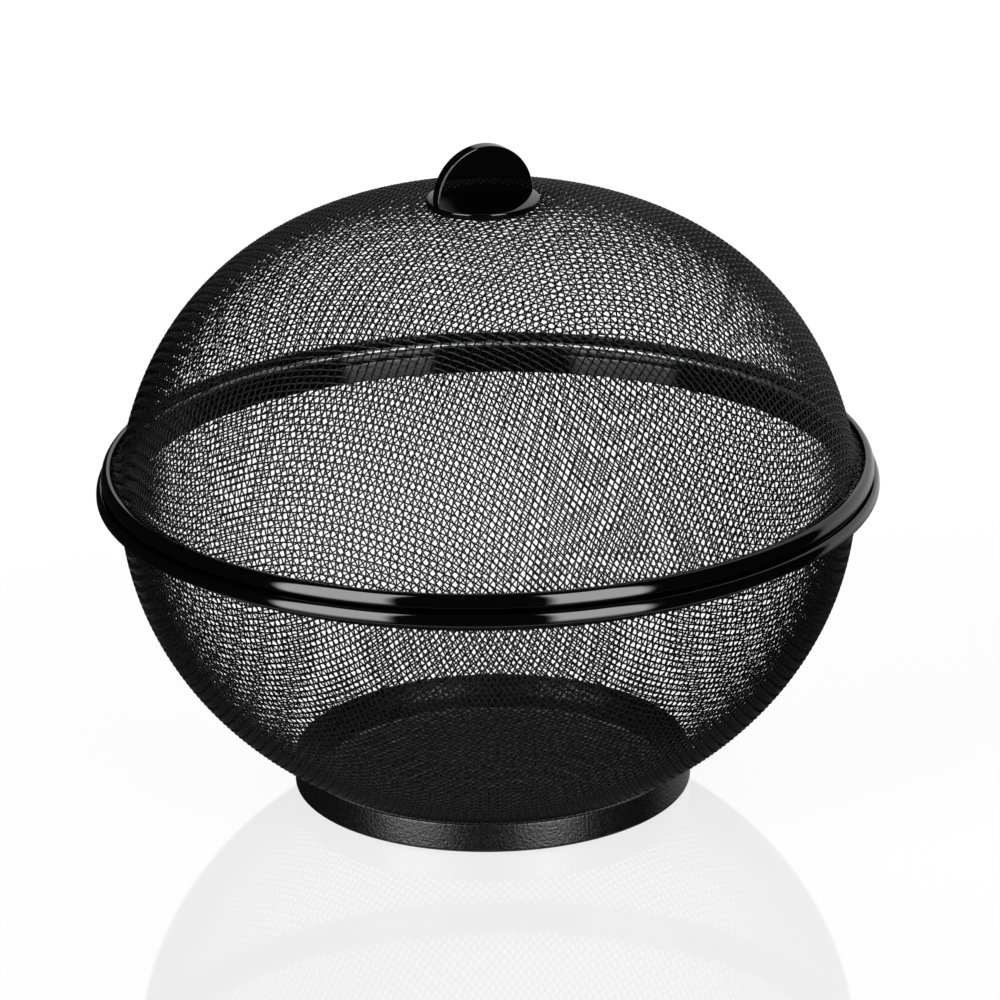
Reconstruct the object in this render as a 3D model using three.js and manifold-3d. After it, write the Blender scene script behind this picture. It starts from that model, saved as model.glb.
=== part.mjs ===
// A lidded fruit basket of pressed woven wire: a mesh bowl on a sheet-steel foot ring, a domed mesh
// lid that lifts off, a rolled rim on each, and a moulded knob held by one screw and a washer.
// Millimetres, +Z up. The origin is the middle of the foot's resting face, and X runs along the knob's grip.
import * as THREE from 'three';
import * as BufferGeometryUtils from 'three/addons/utils/BufferGeometryUtils.js';
import Module from 'manifold-3d';

const wasm = await Module();
wasm.setup();

// ---------------------------------------------------------------- driving dimensions

const RING_FACETS = 48; // flat facets around every turned ring
const GAP = 0.3; // air left between two pieces that touch

const MESH_THICKNESS = 1.1; // two wires crossing, one over the other

const FOOT_RADIUS = 72;
const FOOT_HEIGHT = 11;
const FOOT_SHEET = 1.2;
const FOOT_FLANGE = 8; // the resting edge turns inwards this far

const BOWL_RADIUS = 132.4; // outer face of the mesh where it enters the rim
const BOWL_HEIGHT = 117.6; // table to the ledge that the lid rests on
const BOWL_ROUNDNESS = 1.965; // exponent of the wall's curve, 2 being an ellipse
const FLOOR_CLEARANCE = 3.2; // air under the flat floor of the bowl
const FLOOR_BEND = 1.5; // how softly the flat floor runs into the wall

const RIM_SHEET = 0.8; // strip that both rims are rolled from
const RIM_CORNER = 0.3; // size of the small cut that stands for a rolled corner
const BAND_BULGE = 0.6; // the middle of each upright band stands out this far from its edges
const BOWL_WIRE_RADIUS = 2; // edge wire that the bowl's rim is rolled around
const BOWL_RIM_SLACK = 2.9; // air beside that wire, inside the upright band
const BAND_BELOW_WIRE = 1.1; // the upright band ends this far below the wire's middle
const SKIRT_BELOW_WIRE = 3.2; // the sloping skirt ends this far below the wire's underside
const SKIRT_TUCK = 1.2; // and this far outside the mesh
const BOWL_RIM_LINER = 7.2; // height of the leg that covers the mesh's inside

const LID_INSET = 0.7; // the lid's mesh is this much smaller in radius than the bowl's
const LID_RIM_INSET = 1.9; // and its rim this much smaller than the bowl's rim
const LID_RIM_HEIGHT = 6;
const LID_RIM_FACE = 4.3; // height of the outer strip's upright band
const LID_RIM_TOP_WIDTH = 3; // width of the outer strip's flat top
const LID_LEG_HEIGHT = 2.2; // the channel's inner leg, which keeps the edge wire in
const LID_FLARE = 3.2; // radius of the bend where the mesh turns out into the rim
const LID_FLANGE_ROOM = 0.4; // air between the turned-out mesh's edge and the channel's outer leg
const DOME_HEIGHT = 95.1; // top of the lid's rim to the crown of the mesh
const DOME_SINK = 36.5; // the dome curve's widest line lies this far below the rim's top
const DOME_ROUNDNESS = 2.39;

const KNOB_DISC_RADIUS = 20.1;
const KNOB_DISC_EDGE = 1.5; // thickness of the base disc at its edge
const KNOB_DISC_CROWN = 1.5; // and this much more in the middle
const KNOB_GRIP_RADIUS = 18.8; // the half disc that fingers hold
const KNOB_GRIP_THICKNESS = 4.8;
const KNOB_ROUNDING = 0.5;

const SCREW_RADIUS = 1.5;
const SCREW_BITE = 9; // length of shank inside the knob
const SCREW_HEAD_RADIUS = 2.9;
const SCREW_HEAD_HEIGHT = 1.9;
const SCREW_SLOT_WIDTH = 0.8;
const SCREW_SLOT_DEPTH = 0.9;
const SCREW_TIP_ROOM = 1; // empty hole beyond the screw's tip
const WASHER_RADIUS = 9;
const WASHER_THICKNESS = 1;

// ---------------------------------------------------------------- places worked out from them

const HOLE_RADIUS = SCREW_RADIUS + GAP; // in the lid's mesh, the washer and the knob

const BOWL_WIRE_Z = BOWL_HEIGHT - RIM_SHEET - GAP - BOWL_WIRE_RADIUS;
const BOWL_RIM_RADIUS = BOWL_RADIUS + 2 * GAP + 2 * BOWL_WIRE_RADIUS + BOWL_RIM_SLACK + RIM_SHEET;
const BOWL_LINER_RADIUS = BOWL_RADIUS - MESH_THICKNESS - GAP - RIM_SHEET;
const BOWL_WIDEST_Z = BOWL_HEIGHT - BOWL_RIM_LINER - RIM_SHEET / 2; // the wall is upright from here up

const LID_BOTTOM_Z = BOWL_HEIGHT + GAP;
const LID_TOP_Z = LID_BOTTOM_Z + LID_RIM_HEIGHT;
const LID_RADIUS = BOWL_RADIUS - LID_INSET;
const LID_RIM_RADIUS = BOWL_RIM_RADIUS - LID_RIM_INSET;
const LID_LINER_RADIUS = LID_RADIUS - MESH_THICKNESS - GAP - RIM_SHEET;
const LID_FLANGE_Z = LID_TOP_Z - RIM_SHEET - GAP; // upper face of the turned-out mesh
const LID_CHANNEL_Z = LID_BOTTOM_Z + RIM_SHEET; // floor of the channel under it
const LID_CHANNEL_RADIUS = LID_RIM_RADIUS - BAND_BULGE - RIM_SHEET - GAP; // outside of its outer leg
const LID_FLANGE_RADIUS = LID_CHANNEL_RADIUS - RIM_SHEET - LID_FLANGE_ROOM;
const LID_WIRE_RADIUS = (LID_FLANGE_Z - MESH_THICKNESS - LID_CHANNEL_Z - 2 * GAP) / 2;
const CROWN_Z = LID_TOP_Z + DOME_HEIGHT;

const WASHER_DISH = 0.3; // the crown curves down this much across the washer
const WASHER_TOP_Z = CROWN_Z - MESH_THICKNESS - GAP - WASHER_DISH;
const SCREW_HEAD_TOP_Z = WASHER_TOP_Z - WASHER_THICKNESS - GAP;
const KNOB_BOTTOM_Z = CROWN_Z + GAP;
const SCREW_TIP_Z = KNOB_BOTTOM_Z + SCREW_BITE;

// ---------------------------------------------------------------- helpers

// Turns a closed outline of [radius, height] points about the Z axis into a solid.
// An outline that starts on the axis also ends there; any other is closed back to its first point.
function turned(outline) {
  let doubledArea = 0;
  outline.forEach(([r, z], i) => {
    const [nextR, nextZ] = outline[(i + 1) % outline.length];
    doubledArea += r * nextZ - nextR * z;
  });
  const points = outline.map(([r, z]) => new THREE.Vector2(r, z));
  if (doubledArea < 0) points.reverse();
  if (points[0].x > 0) points.push(points[0].clone());
  const geometry = new THREE.LatheGeometry(points, RING_FACETS);
  geometry.rotateX(Math.PI / 2);
  return geometry;
}

// A round section of the given radius, as an outline for turned().
function roundSection(centreRadius, centreZ, radius, sides) {
  const outline = [];
  for (let i = 0; i < sides; i++) {
    const angle = (2 * Math.PI * (i + 0.5)) / sides;
    outline.push([centreRadius + radius * Math.cos(angle), centreZ + radius * Math.sin(angle)]);
  }
  return outline;
}

// The sheet of the given thickness whose outer face is the curve: the outline goes out and comes back.
// inwardSide is +1 where the sheet lies to the left of the curve's direction, and -1 to the right.
function sheetAlong(curve, thickness, inwardSide) {
  const back = curve.map(([r, z], i) => {
    const [r0, z0] = curve[Math.max(i - 1, 0)];
    const [r1, z1] = curve[Math.min(i + 1, curve.length - 1)];
    const length = Math.hypot(r1 - r0, z1 - z0);
    const normalR = (-(z1 - z0) / length) * inwardSide;
    const normalZ = ((r1 - r0) / length) * inwardSide;
    return [r + normalR * thickness, z + normalZ * thickness];
  });
  back.forEach((point, i) => {
    if (curve[i][0] === 0) point[0] = 0;
  });
  return [...curve, ...back.reverse()];
}

// An upright band from one height to another, bulging outwards to the given radius halfway up.
function bulgingBand(radius, fromZ, toZ) {
  const steps = 4;
  const points = [];
  for (let i = 0; i <= steps; i++) {
    const fromMiddle = (2 * i) / steps - 1;
    points.push([radius - BAND_BULGE * fromMiddle ** 2, THREE.MathUtils.lerp(fromZ, toZ, i / steps)]);
  }
  return points;
}

function toSolid(geometry) {
  const bare = geometry.clone();
  bare.deleteAttribute('normal');
  bare.deleteAttribute('uv');
  const merged = BufferGeometryUtils.mergeVertices(bare, 1e-4);
  return new wasm.Manifold(
    new wasm.Mesh({
      numProp: 3,
      vertProperties: merged.attributes.position.array,
      triVerts: new Uint32Array(merged.index.array),
    }),
  );
}

function fromSolid(solid) {
  const mesh = solid.getMesh();
  const geometry = new THREE.BufferGeometry();
  geometry.setAttribute('position', new THREE.BufferAttribute(mesh.vertProperties, 3));
  geometry.setIndex(new THREE.BufferAttribute(mesh.triVerts, 1));
  geometry.computeVertexNormals();
  return geometry;
}

// ---------------------------------------------------------------- finishes

const blackEnamel = new THREE.MeshStandardMaterial({ color: 0x0c0c0e, roughness: 0.18, metalness: 0.1 });
const blackWrinkle = new THREE.MeshStandardMaterial({ color: 0x151517, roughness: 0.5, metalness: 0.1 });
const blackWire = new THREE.MeshStandardMaterial({ color: 0x17171a, roughness: 0.4, metalness: 0.2 });
const blackPlastic = new THREE.MeshStandardMaterial({ color: 0x050506, roughness: 0.08, metalness: 0 });
const zincSteel = new THREE.MeshStandardMaterial({ color: 0xb8bbc0, roughness: 0.35, metalness: 0.9 });

// ---------------------------------------------------------------- foot

// A steel strip rolled into a ring: its upper edge is rounded and carries the mesh, and its lower
// edge turns inwards into the flat flange that the basket stands on.
function footRing() {
  const inner = FOOT_RADIUS - FOOT_SHEET;
  const flangeInner = FOOT_RADIUS - FOOT_FLANGE;
  const round = FOOT_SHEET / 2;
  const cut = round * 0.4;
  return turned([
    [flangeInner + cut, 0],
    [FOOT_RADIUS - round, 0],
    [FOOT_RADIUS, round],
    [FOOT_RADIUS, FOOT_HEIGHT - round],
    [FOOT_RADIUS - cut, FOOT_HEIGHT - cut],
    [FOOT_RADIUS - round, FOOT_HEIGHT],
    [inner + cut, FOOT_HEIGHT - cut],
    [inner, FOOT_HEIGHT - round],
    [inner, FOOT_SHEET + cut],
    [inner - cut, FOOT_SHEET],
    [flangeInner + cut, FOOT_SHEET],
    [flangeInner, FOOT_SHEET / 2],
  ]);
}

// ---------------------------------------------------------------- bowl

// The bowl's wall passes just over the foot's rounded upper edge. The share is for the wall's slope there.
const SEAT_SLOPE_SHARE = 1.3;
const SEAT_RADIUS = FOOT_RADIUS - FOOT_SHEET / 2;
const SEAT_Z = FOOT_HEIGHT - FOOT_SHEET / 2 + (FOOT_SHEET / 2 + GAP) * SEAT_SLOPE_SHARE;
const BOWL_CURVE_DEPTH =
  (BOWL_WIDEST_Z - SEAT_Z) / (1 - (SEAT_RADIUS / BOWL_RADIUS) ** BOWL_ROUNDNESS) ** (1 / BOWL_ROUNDNESS);

// Height of the mesh's outer face at a radius: a rounded wall, pressed flat where it nears the table.
function bowlFaceZ(radius) {
  const share = Math.min(radius / BOWL_RADIUS, 1);
  const curve = BOWL_WIDEST_Z - BOWL_CURVE_DEPTH * (1 - share ** BOWL_ROUNDNESS) ** (1 / BOWL_ROUNDNESS);
  const above = curve - FLOOR_CLEARANCE;
  return FLOOR_CLEARANCE + (above + Math.hypot(above, FLOOR_BEND)) / 2;
}

// The radius at which the wall's own curve, without the flat floor, reaches the floor's height.
function floorRadius() {
  const share = (BOWL_WIDEST_Z - FLOOR_CLEARANCE) / BOWL_CURVE_DEPTH;
  return BOWL_RADIUS * Math.max(1 - share ** BOWL_ROUNDNESS, 0) ** (1 / BOWL_ROUNDNESS);
}

function bowlMesh() {
  const wallSteps = 10;
  const startAngle = Math.asin((floorRadius() / BOWL_RADIUS) ** (BOWL_ROUNDNESS / 2)) * 0.88;
  const curve = [[0, bowlFaceZ(0)]];
  for (let i = 0; i <= wallSteps; i++) {
    const angle = THREE.MathUtils.lerp(startAngle, Math.PI / 2, i / wallSteps);
    const radius = BOWL_RADIUS * Math.sin(angle) ** (2 / BOWL_ROUNDNESS);
    curve.push([radius, bowlFaceZ(radius)]);
  }
  curve.push([BOWL_RADIUS, BOWL_HEIGHT - RIM_SHEET - GAP]);
  return turned(sheetAlong(curve, MESH_THICKNESS, 1));
}

// One strip rolled over the mesh's upper edge: a leg inside the mesh, the flat ledge for the lid,
// the upright band, and a skirt that slopes back in under it.
function bowlRim() {
  const faceBottom = BOWL_WIRE_Z - BAND_BELOW_WIRE;
  const tip = [BOWL_RADIUS + SKIRT_TUCK, BOWL_WIRE_Z - BOWL_WIRE_RADIUS - SKIRT_BELOW_WIRE];
  const run = BOWL_RIM_RADIUS - BAND_BULGE - tip[0];
  const rise = faceBottom - tip[1];
  const slant = Math.hypot(run, rise);
  const innerTip = [tip[0] - (rise / slant) * RIM_SHEET, tip[1] + (run / slant) * RIM_SHEET];
  const bandInner = BOWL_RIM_RADIUS - RIM_SHEET;
  const bandFoot = innerTip[1] + ((bandInner - BAND_BULGE - innerTip[0]) * rise) / run;
  const linerBottom = BOWL_HEIGHT - BOWL_RIM_LINER;
  return turned([
    tip,
    ...bulgingBand(BOWL_RIM_RADIUS, faceBottom, BOWL_HEIGHT - RIM_CORNER),
    [BOWL_RIM_RADIUS - BAND_BULGE - RIM_CORNER, BOWL_HEIGHT],
    [BOWL_LINER_RADIUS + RIM_CORNER, BOWL_HEIGHT],
    [BOWL_LINER_RADIUS, BOWL_HEIGHT - RIM_CORNER],
    [BOWL_LINER_RADIUS, linerBottom],
    [BOWL_LINER_RADIUS + RIM_SHEET, linerBottom],
    [BOWL_LINER_RADIUS + RIM_SHEET, BOWL_HEIGHT - RIM_SHEET],
    ...bulgingBand(bandInner, BOWL_HEIGHT - RIM_SHEET, bandFoot),
    innerTip,
  ]);
}

// The round wire that the strip is rolled around, which keeps the rim stiff and true.
function bowlRimWire() {
  const sides = 10;
  return turned(roundSection(BOWL_RADIUS + GAP + BOWL_WIRE_RADIUS, BOWL_WIRE_Z, BOWL_WIRE_RADIUS, sides));
}

// ---------------------------------------------------------------- lid

const BEND_TOP_Z = LID_FLANGE_Z + LID_FLARE; // where the dome ends and the outward bend begins
const DOME_BASE_Z = LID_TOP_Z - DOME_SINK;
const DOME_RISE = DOME_HEIGHT + DOME_SINK;
const DOME_RADIUS =
  LID_RADIUS / (1 - ((BEND_TOP_Z - DOME_BASE_Z) / DOME_RISE) ** DOME_ROUNDNESS) ** (1 / DOME_ROUNDNESS);

function domeFaceZ(radius) {
  return DOME_BASE_Z + DOME_RISE * (1 - (radius / DOME_RADIUS) ** DOME_ROUNDNESS) ** (1 / DOME_ROUNDNESS);
}

// The mesh dome: a hole for the screw at the crown, and an edge turned out flat inside the rim.
function lidMesh() {
  const domeSteps = 10;
  const bendSteps = 2;
  const angleAt = (radius) => Math.asin((radius / DOME_RADIUS) ** (DOME_ROUNDNESS / 2));
  const curve = [];
  for (let i = 0; i <= domeSteps; i++) {
    const angle = THREE.MathUtils.lerp(angleAt(HOLE_RADIUS), angleAt(LID_RADIUS), i / domeSteps);
    const radius = DOME_RADIUS * Math.sin(angle) ** (2 / DOME_ROUNDNESS);
    curve.push([radius, domeFaceZ(radius)]);
  }
  for (let i = 1; i <= bendSteps; i++) {
    const angle = (Math.PI / 2) * (i / bendSteps);
    curve.push([
      LID_RADIUS + LID_FLARE * (1 - Math.cos(angle)),
      BEND_TOP_Z - LID_FLARE * Math.sin(angle),
    ]);
  }
  curve.push([LID_FLANGE_RADIUS, LID_FLANGE_Z]);
  return turned(sheetAlong(curve, MESH_THICKNESS, -1));
}

// The channel that rests on the bowl's ledge and holds the edge wire and the turned-out mesh.
function lidSeatRing() {
  const outer = LID_CHANNEL_RADIUS;
  const outerTop = LID_TOP_Z - RIM_SHEET - GAP;
  const legTop = LID_BOTTOM_Z + LID_LEG_HEIGHT;
  return turned([
    [LID_LINER_RADIUS, LID_BOTTOM_Z + RIM_CORNER],
    [LID_LINER_RADIUS + RIM_CORNER, LID_BOTTOM_Z],
    [outer - RIM_CORNER, LID_BOTTOM_Z],
    [outer, LID_BOTTOM_Z + RIM_CORNER],
    [outer, outerTop],
    [outer - RIM_SHEET, outerTop],
    [outer - RIM_SHEET, LID_CHANNEL_Z],
    [LID_LINER_RADIUS + RIM_SHEET, LID_CHANNEL_Z],
    [LID_LINER_RADIUS + RIM_SHEET, legTop],
    [LID_LINER_RADIUS, legTop],
  ]);
}

// The outer strip, pressed over the channel: a flat top and an upright band.
function lidRim() {
  const bandBottom = LID_TOP_Z - LID_RIM_FACE;
  const topInner = LID_RIM_RADIUS - LID_RIM_TOP_WIDTH;
  return turned([
    ...bulgingBand(LID_RIM_RADIUS, bandBottom, LID_TOP_Z - RIM_CORNER),
    [LID_RIM_RADIUS - BAND_BULGE - RIM_CORNER, LID_TOP_Z],
    [topInner, LID_TOP_Z],
    [topInner, LID_TOP_Z - RIM_SHEET],
    ...bulgingBand(LID_RIM_RADIUS - RIM_SHEET, LID_TOP_Z - RIM_SHEET, bandBottom),
  ]);
}

function lidRimWire() {
  const sides = 8;
  const centreRadius = LID_RADIUS + GAP + LID_WIRE_RADIUS;
  const centreZ = LID_CHANNEL_Z + GAP + LID_WIRE_RADIUS;
  return turned(roundSection(centreRadius, centreZ, LID_WIRE_RADIUS, sides));
}

// ---------------------------------------------------------------- knob and its screw

// One moulding: a round base disc with a half-disc grip standing across it, and a blind hole below.
function knob() {
  const edgeTop = KNOB_BOTTOM_Z + KNOB_DISC_EDGE;
  const top = edgeTop + KNOB_DISC_CROWN;
  const flatRadius = KNOB_DISC_RADIUS - KNOB_ROUNDING;
  const crown = [1, 0.75, 0.5, 0].map((share) => [flatRadius * share, top - KNOB_DISC_CROWN * share ** 2]);
  const disc = turned([
    [0, KNOB_BOTTOM_Z],
    [flatRadius, KNOB_BOTTOM_Z],
    [KNOB_DISC_RADIUS, KNOB_BOTTOM_Z + KNOB_ROUNDING],
    [KNOB_DISC_RADIUS, edgeTop - KNOB_ROUNDING],
    ...crown,
  ]);

  const bodyRadius = KNOB_GRIP_RADIUS - KNOB_ROUNDING;
  const root = top - edgeTop + KNOB_DISC_EDGE / 3; // the grip is moulded down into the disc
  const outline = new THREE.Shape();
  outline.moveTo(-bodyRadius, -root + KNOB_ROUNDING);
  outline.lineTo(bodyRadius, -root + KNOB_ROUNDING);
  outline.lineTo(bodyRadius, 0);
  outline.absarc(0, 0, bodyRadius, 0, Math.PI, false);
  outline.closePath();
  const grip = new THREE.ExtrudeGeometry(outline, {
    depth: KNOB_GRIP_THICKNESS - 2 * KNOB_ROUNDING,
    bevelEnabled: true,
    bevelThickness: KNOB_ROUNDING,
    bevelSize: KNOB_ROUNDING,
    bevelSegments: 2,
    curveSegments: 28,
  });
  grip.translate(0, 0, KNOB_ROUNDING - KNOB_GRIP_THICKNESS / 2);
  grip.rotateX(Math.PI / 2);
  grip.translate(0, 0, top);

  const holeTop = SCREW_TIP_Z + SCREW_TIP_ROOM;
  const hole = turned([
    [0, KNOB_BOTTOM_Z - 1],
    [HOLE_RADIUS, KNOB_BOTTOM_Z - 1],
    [HOLE_RADIUS, holeTop],
    [0, holeTop],
  ]);
  return fromSolid(toSolid(disc).add(toSolid(grip)).subtract(toSolid(hole)));
}

// A pan-head screw, driven up from inside the lid, with a straight slot in its head.
function knobScrew() {
  const headBottom = SCREW_HEAD_TOP_Z - SCREW_HEAD_HEIGHT;
  const body = turned([
    [0, headBottom],
    [SCREW_HEAD_RADIUS * 0.62, headBottom + SCREW_HEAD_HEIGHT * 0.1],
    [SCREW_HEAD_RADIUS * 0.9, headBottom + SCREW_HEAD_HEIGHT * 0.4],
    [SCREW_HEAD_RADIUS, SCREW_HEAD_TOP_Z],
    [SCREW_RADIUS, SCREW_HEAD_TOP_Z],
    [SCREW_RADIUS, SCREW_TIP_Z - SCREW_RADIUS / 2],
    [SCREW_RADIUS / 2, SCREW_TIP_Z],
    [0, SCREW_TIP_Z],
  ]);
  const slot = new THREE.BoxGeometry(4 * SCREW_HEAD_RADIUS, SCREW_SLOT_WIDTH, 2 * SCREW_SLOT_DEPTH);
  slot.translate(0, 0, headBottom);
  return fromSolid(toSolid(body).subtract(toSolid(slot)));
}

function knobWasher() {
  const bottom = WASHER_TOP_Z - WASHER_THICKNESS;
  return turned([
    [HOLE_RADIUS, bottom],
    [WASHER_RADIUS, bottom],
    [WASHER_RADIUS, WASHER_TOP_Z],
    [HOLE_RADIUS, WASHER_TOP_Z],
  ]);
}

// ---------------------------------------------------------------- the assembly

function piece(name, geometry, material) {
  const mesh = new THREE.Mesh(geometry, material);
  mesh.name = name;
  return mesh;
}

const bowl = new THREE.Group();
bowl.add(
  piece('foot_ring', footRing(), blackWrinkle),
  piece('bowl_mesh', bowlMesh(), blackWire),
  piece('bowl_rim', bowlRim(), blackEnamel),
  piece('bowl_rim_wire', bowlRimWire(), zincSteel),
);

const lid = new THREE.Group();
lid.add(
  piece('lid_mesh', lidMesh(), blackWire),
  piece('lid_seat_ring', lidSeatRing(), blackEnamel),
  piece('lid_rim', lidRim(), blackEnamel),
  piece('lid_rim_wire', lidRimWire(), zincSteel),
  piece('knob', knob(), blackPlastic),
  piece('knob_washer', knobWasher(), zincSteel),
  piece('knob_screw', knobScrew(), zincSteel),
);

const basket = new THREE.Group();
basket.add(bowl, lid);

export default basket;
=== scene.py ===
# %% [markdown]
# A basket for fruit or bread, pressed from black woven wire: a bowl on a steel foot ring, a domed lid
# that lifts off, a rolled rim on each, and a moulded knob on top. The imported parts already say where
# everything is, so the first step loads them and keeps their sizes, and each later step makes one
# finished piece in the same place. All lengths are in metres, so MM turns a maker's size into them.

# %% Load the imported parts
import math

import bmesh
import bpy
import numpy as np
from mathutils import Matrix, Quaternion, Vector


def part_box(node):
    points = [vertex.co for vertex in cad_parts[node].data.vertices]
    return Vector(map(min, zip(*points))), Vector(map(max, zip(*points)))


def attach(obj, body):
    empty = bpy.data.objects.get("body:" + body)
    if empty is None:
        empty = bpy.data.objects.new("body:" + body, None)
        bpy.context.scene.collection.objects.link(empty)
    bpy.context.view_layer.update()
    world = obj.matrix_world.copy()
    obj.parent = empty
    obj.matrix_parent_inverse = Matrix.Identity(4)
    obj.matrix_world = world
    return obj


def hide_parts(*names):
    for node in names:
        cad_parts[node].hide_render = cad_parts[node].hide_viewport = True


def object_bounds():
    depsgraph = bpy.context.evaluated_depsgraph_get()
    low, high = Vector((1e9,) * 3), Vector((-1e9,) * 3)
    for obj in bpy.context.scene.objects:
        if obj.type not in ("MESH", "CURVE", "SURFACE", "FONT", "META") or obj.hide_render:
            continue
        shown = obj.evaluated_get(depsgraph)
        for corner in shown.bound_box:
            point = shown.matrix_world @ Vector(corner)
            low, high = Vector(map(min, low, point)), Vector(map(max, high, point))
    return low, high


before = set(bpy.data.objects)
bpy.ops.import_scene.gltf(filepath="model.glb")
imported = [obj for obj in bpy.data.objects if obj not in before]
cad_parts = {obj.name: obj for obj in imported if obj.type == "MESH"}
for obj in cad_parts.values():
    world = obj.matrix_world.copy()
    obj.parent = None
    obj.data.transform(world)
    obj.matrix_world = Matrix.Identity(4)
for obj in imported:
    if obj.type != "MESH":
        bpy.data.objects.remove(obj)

MM = 0.001
cad_low, cad_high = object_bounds()
print("packed parts:", sorted(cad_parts))
print("whole basket, mm:", [round(side / MM, 1) for side in cad_high - cad_low])

# %% [markdown]
# The camera stands low in front and a little to the left, far back with a long lens, so the rims look
# like flat ellipses. A camera can be aimed with a constraint, but a direction worked out from two
# angles is easier to read and to repeat. The small roll and shift set the basket in the frame.

# %% Camera
CAMERA_TURN = math.radians(-26.6)
CAMERA_RISE = math.radians(20.41)
CAMERA_ROLL = math.radians(-1.0)
CAMERA_AWAY = 2.5
AIM_HEIGHT = 110 * MM


def toward(turn, rise):
    """The direction that a turn from the front and a rise above the table point in."""
    return Vector((math.sin(turn) * math.cos(rise), -math.cos(turn) * math.cos(rise), math.sin(rise)))


camera = bpy.data.objects.new("camera", bpy.data.cameras.new("camera"))
bpy.context.scene.collection.objects.link(camera)
camera_side = toward(CAMERA_TURN, CAMERA_RISE)
camera.location = Vector((0, 0, AIM_HEIGHT)) + camera_side * CAMERA_AWAY
camera.rotation_mode = "QUATERNION"
camera.rotation_quaternion = (-camera_side).to_track_quat("-Z", "Y") @ Quaternion((0, 0, 1), CAMERA_ROLL)
camera.data.sensor_width = 36
camera.data.lens = 250.2
camera.data.shift_x = 0.012
camera.data.shift_y = -0.0073
camera.data.clip_end = 50
bpy.context.scene.camera = camera
print("camera at", [round(value, 3) for value in camera.location])

# %% [markdown]
# Glossy black shows only what it mirrors, so the studio is drawn as a sky around the basket: a dark
# room, two tall soft boxes at the front left and front right, and a pale wall behind to the right.
# Area lights would do too, but a sky gives clean mirror images with no noise, and a faint glow from
# straight below can stand for the light that the table sends up under the bowl.

# %% Studio sky
SOFT_BOXES = ((-46, 17), (32, 14))  # middle and half width in degrees, to the right of the camera
SOFT_BOX_GLOW = 10.0
SOFT_BOX_EDGE = 2.5
WALL_MIDDLE = 150  # degrees to the right of the camera
WALL_HALF_WIDTH = 38
WALL_EDGE = 3
WALL_GLOW = 1.0
ROOM_GLOW = 0.012
BELOW_GLOW = 0.6

# Sines of the rise where each light starts and where it is full.
SOFT_BOX_TOP = (0.82, 0.77)
SOFT_BOX_FOOT = (-0.42, -0.2)
WALL_TOP = (0.95, 0.85)
WALL_FOOT = (-0.5, -0.2)
BELOW_EDGE = (-0.6, -0.85)

bpy.context.scene.view_settings.view_transform = "Standard"
studio = bpy.data.worlds.new("studio")
studio.use_nodes = True
bpy.context.scene.world = studio
sky = studio.node_tree
sky.nodes.clear()


def sky_node(kind, *values, **settings):
    """Adds a node to the sky, with its settings and its inputs, in order. An input may be a socket."""
    node = sky.nodes.new(kind)
    for key, value in settings.items():
        setattr(node, key, value)
    for index, value in enumerate(values):
        if isinstance(value, bpy.types.NodeSocket):
            sky.links.new(value, node.inputs[index])
        elif value is not None:
            node.inputs[index].default_value = value
    return node.outputs[0]


def sky_math(operation, *values):
    """One sum worked out by the sky."""
    return sky_node("ShaderNodeMath", *values, operation=operation)


def sky_ramp(value, start, end, first=0.0, last=1.0):
    """Goes softly from first to last while the value goes from start to end, in either direction."""
    if start > end:
        start, end, first, last = end, start, last, first
    node = sky.nodes.new("ShaderNodeMapRange")
    node.interpolation_type = "SMOOTHSTEP"
    sky.links.new(value, node.inputs["Value"])
    for name, number in (("From Min", start), ("From Max", end), ("To Min", first), ("To Max", last)):
        node.inputs[name].default_value = number
    return node.outputs["Result"]


look = sky.nodes.new("ShaderNodeTexCoord").outputs["Generated"]
turned_look = sky.nodes.new("ShaderNodeVectorRotate")
turned_look.rotation_type = "Z_AXIS"
turned_look.inputs["Angle"].default_value = -CAMERA_TURN
sky.links.new(look, turned_look.inputs["Vector"])
axes = sky.nodes.new("ShaderNodeSeparateXYZ")
sky.links.new(turned_look.outputs[0], axes.inputs[0])
away = sky_math("MULTIPLY", axes.outputs["Y"], -1.0)
round_angle = sky_math("MULTIPLY", sky_math("ARCTAN2", axes.outputs["X"], away), 180 / math.pi)
height = axes.outputs["Z"]
off_wall = sky_math("MULTIPLY", sky_math("SUBTRACT", round_angle, WALL_MIDDLE), math.pi / 180)
from_wall = sky_math("COSINE", off_wall)
wall_start = math.cos(math.radians(WALL_HALF_WIDTH + WALL_EDGE))
wall_full = math.cos(math.radians(WALL_HALF_WIDTH - WALL_EDGE))
wall_sides = sky_ramp(from_wall, wall_start, wall_full)
wall_height = sky_math("MULTIPLY", sky_ramp(height, *WALL_TOP), sky_ramp(height, *WALL_FOOT))
wall = sky_math("MULTIPLY", wall_sides, wall_height)
glow = sky_math("MULTIPLY_ADD", wall, WALL_GLOW - ROOM_GLOW, ROOM_GLOW)
glow = sky_math("MULTIPLY_ADD", sky_ramp(height, *BELOW_EDGE), BELOW_GLOW, glow)
for middle, half_width in SOFT_BOXES:
    beside = sky_math("ABSOLUTE", sky_math("SUBTRACT", round_angle, middle))
    across = sky_ramp(beside, half_width - SOFT_BOX_EDGE, half_width + SOFT_BOX_EDGE, 1.0, 0.0)
    upright = sky_math("MULTIPLY", sky_ramp(height, *SOFT_BOX_TOP), sky_ramp(height, *SOFT_BOX_FOOT))
    glow = sky_math("MULTIPLY_ADD", sky_math("MULTIPLY", across, upright), SOFT_BOX_GLOW, glow)
seen_direct = sky.nodes.new("ShaderNodeLightPath").outputs["Is Camera Ray"]
shown = sky_node("ShaderNodeMix", seen_direct, None, glow, 1.0, data_type="FLOAT")
backdrop = sky.nodes.new("ShaderNodeBackground")
sky.links.new(shown, backdrop.inputs["Strength"])
world_output = sky.nodes.new("ShaderNodeOutputWorld")
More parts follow.
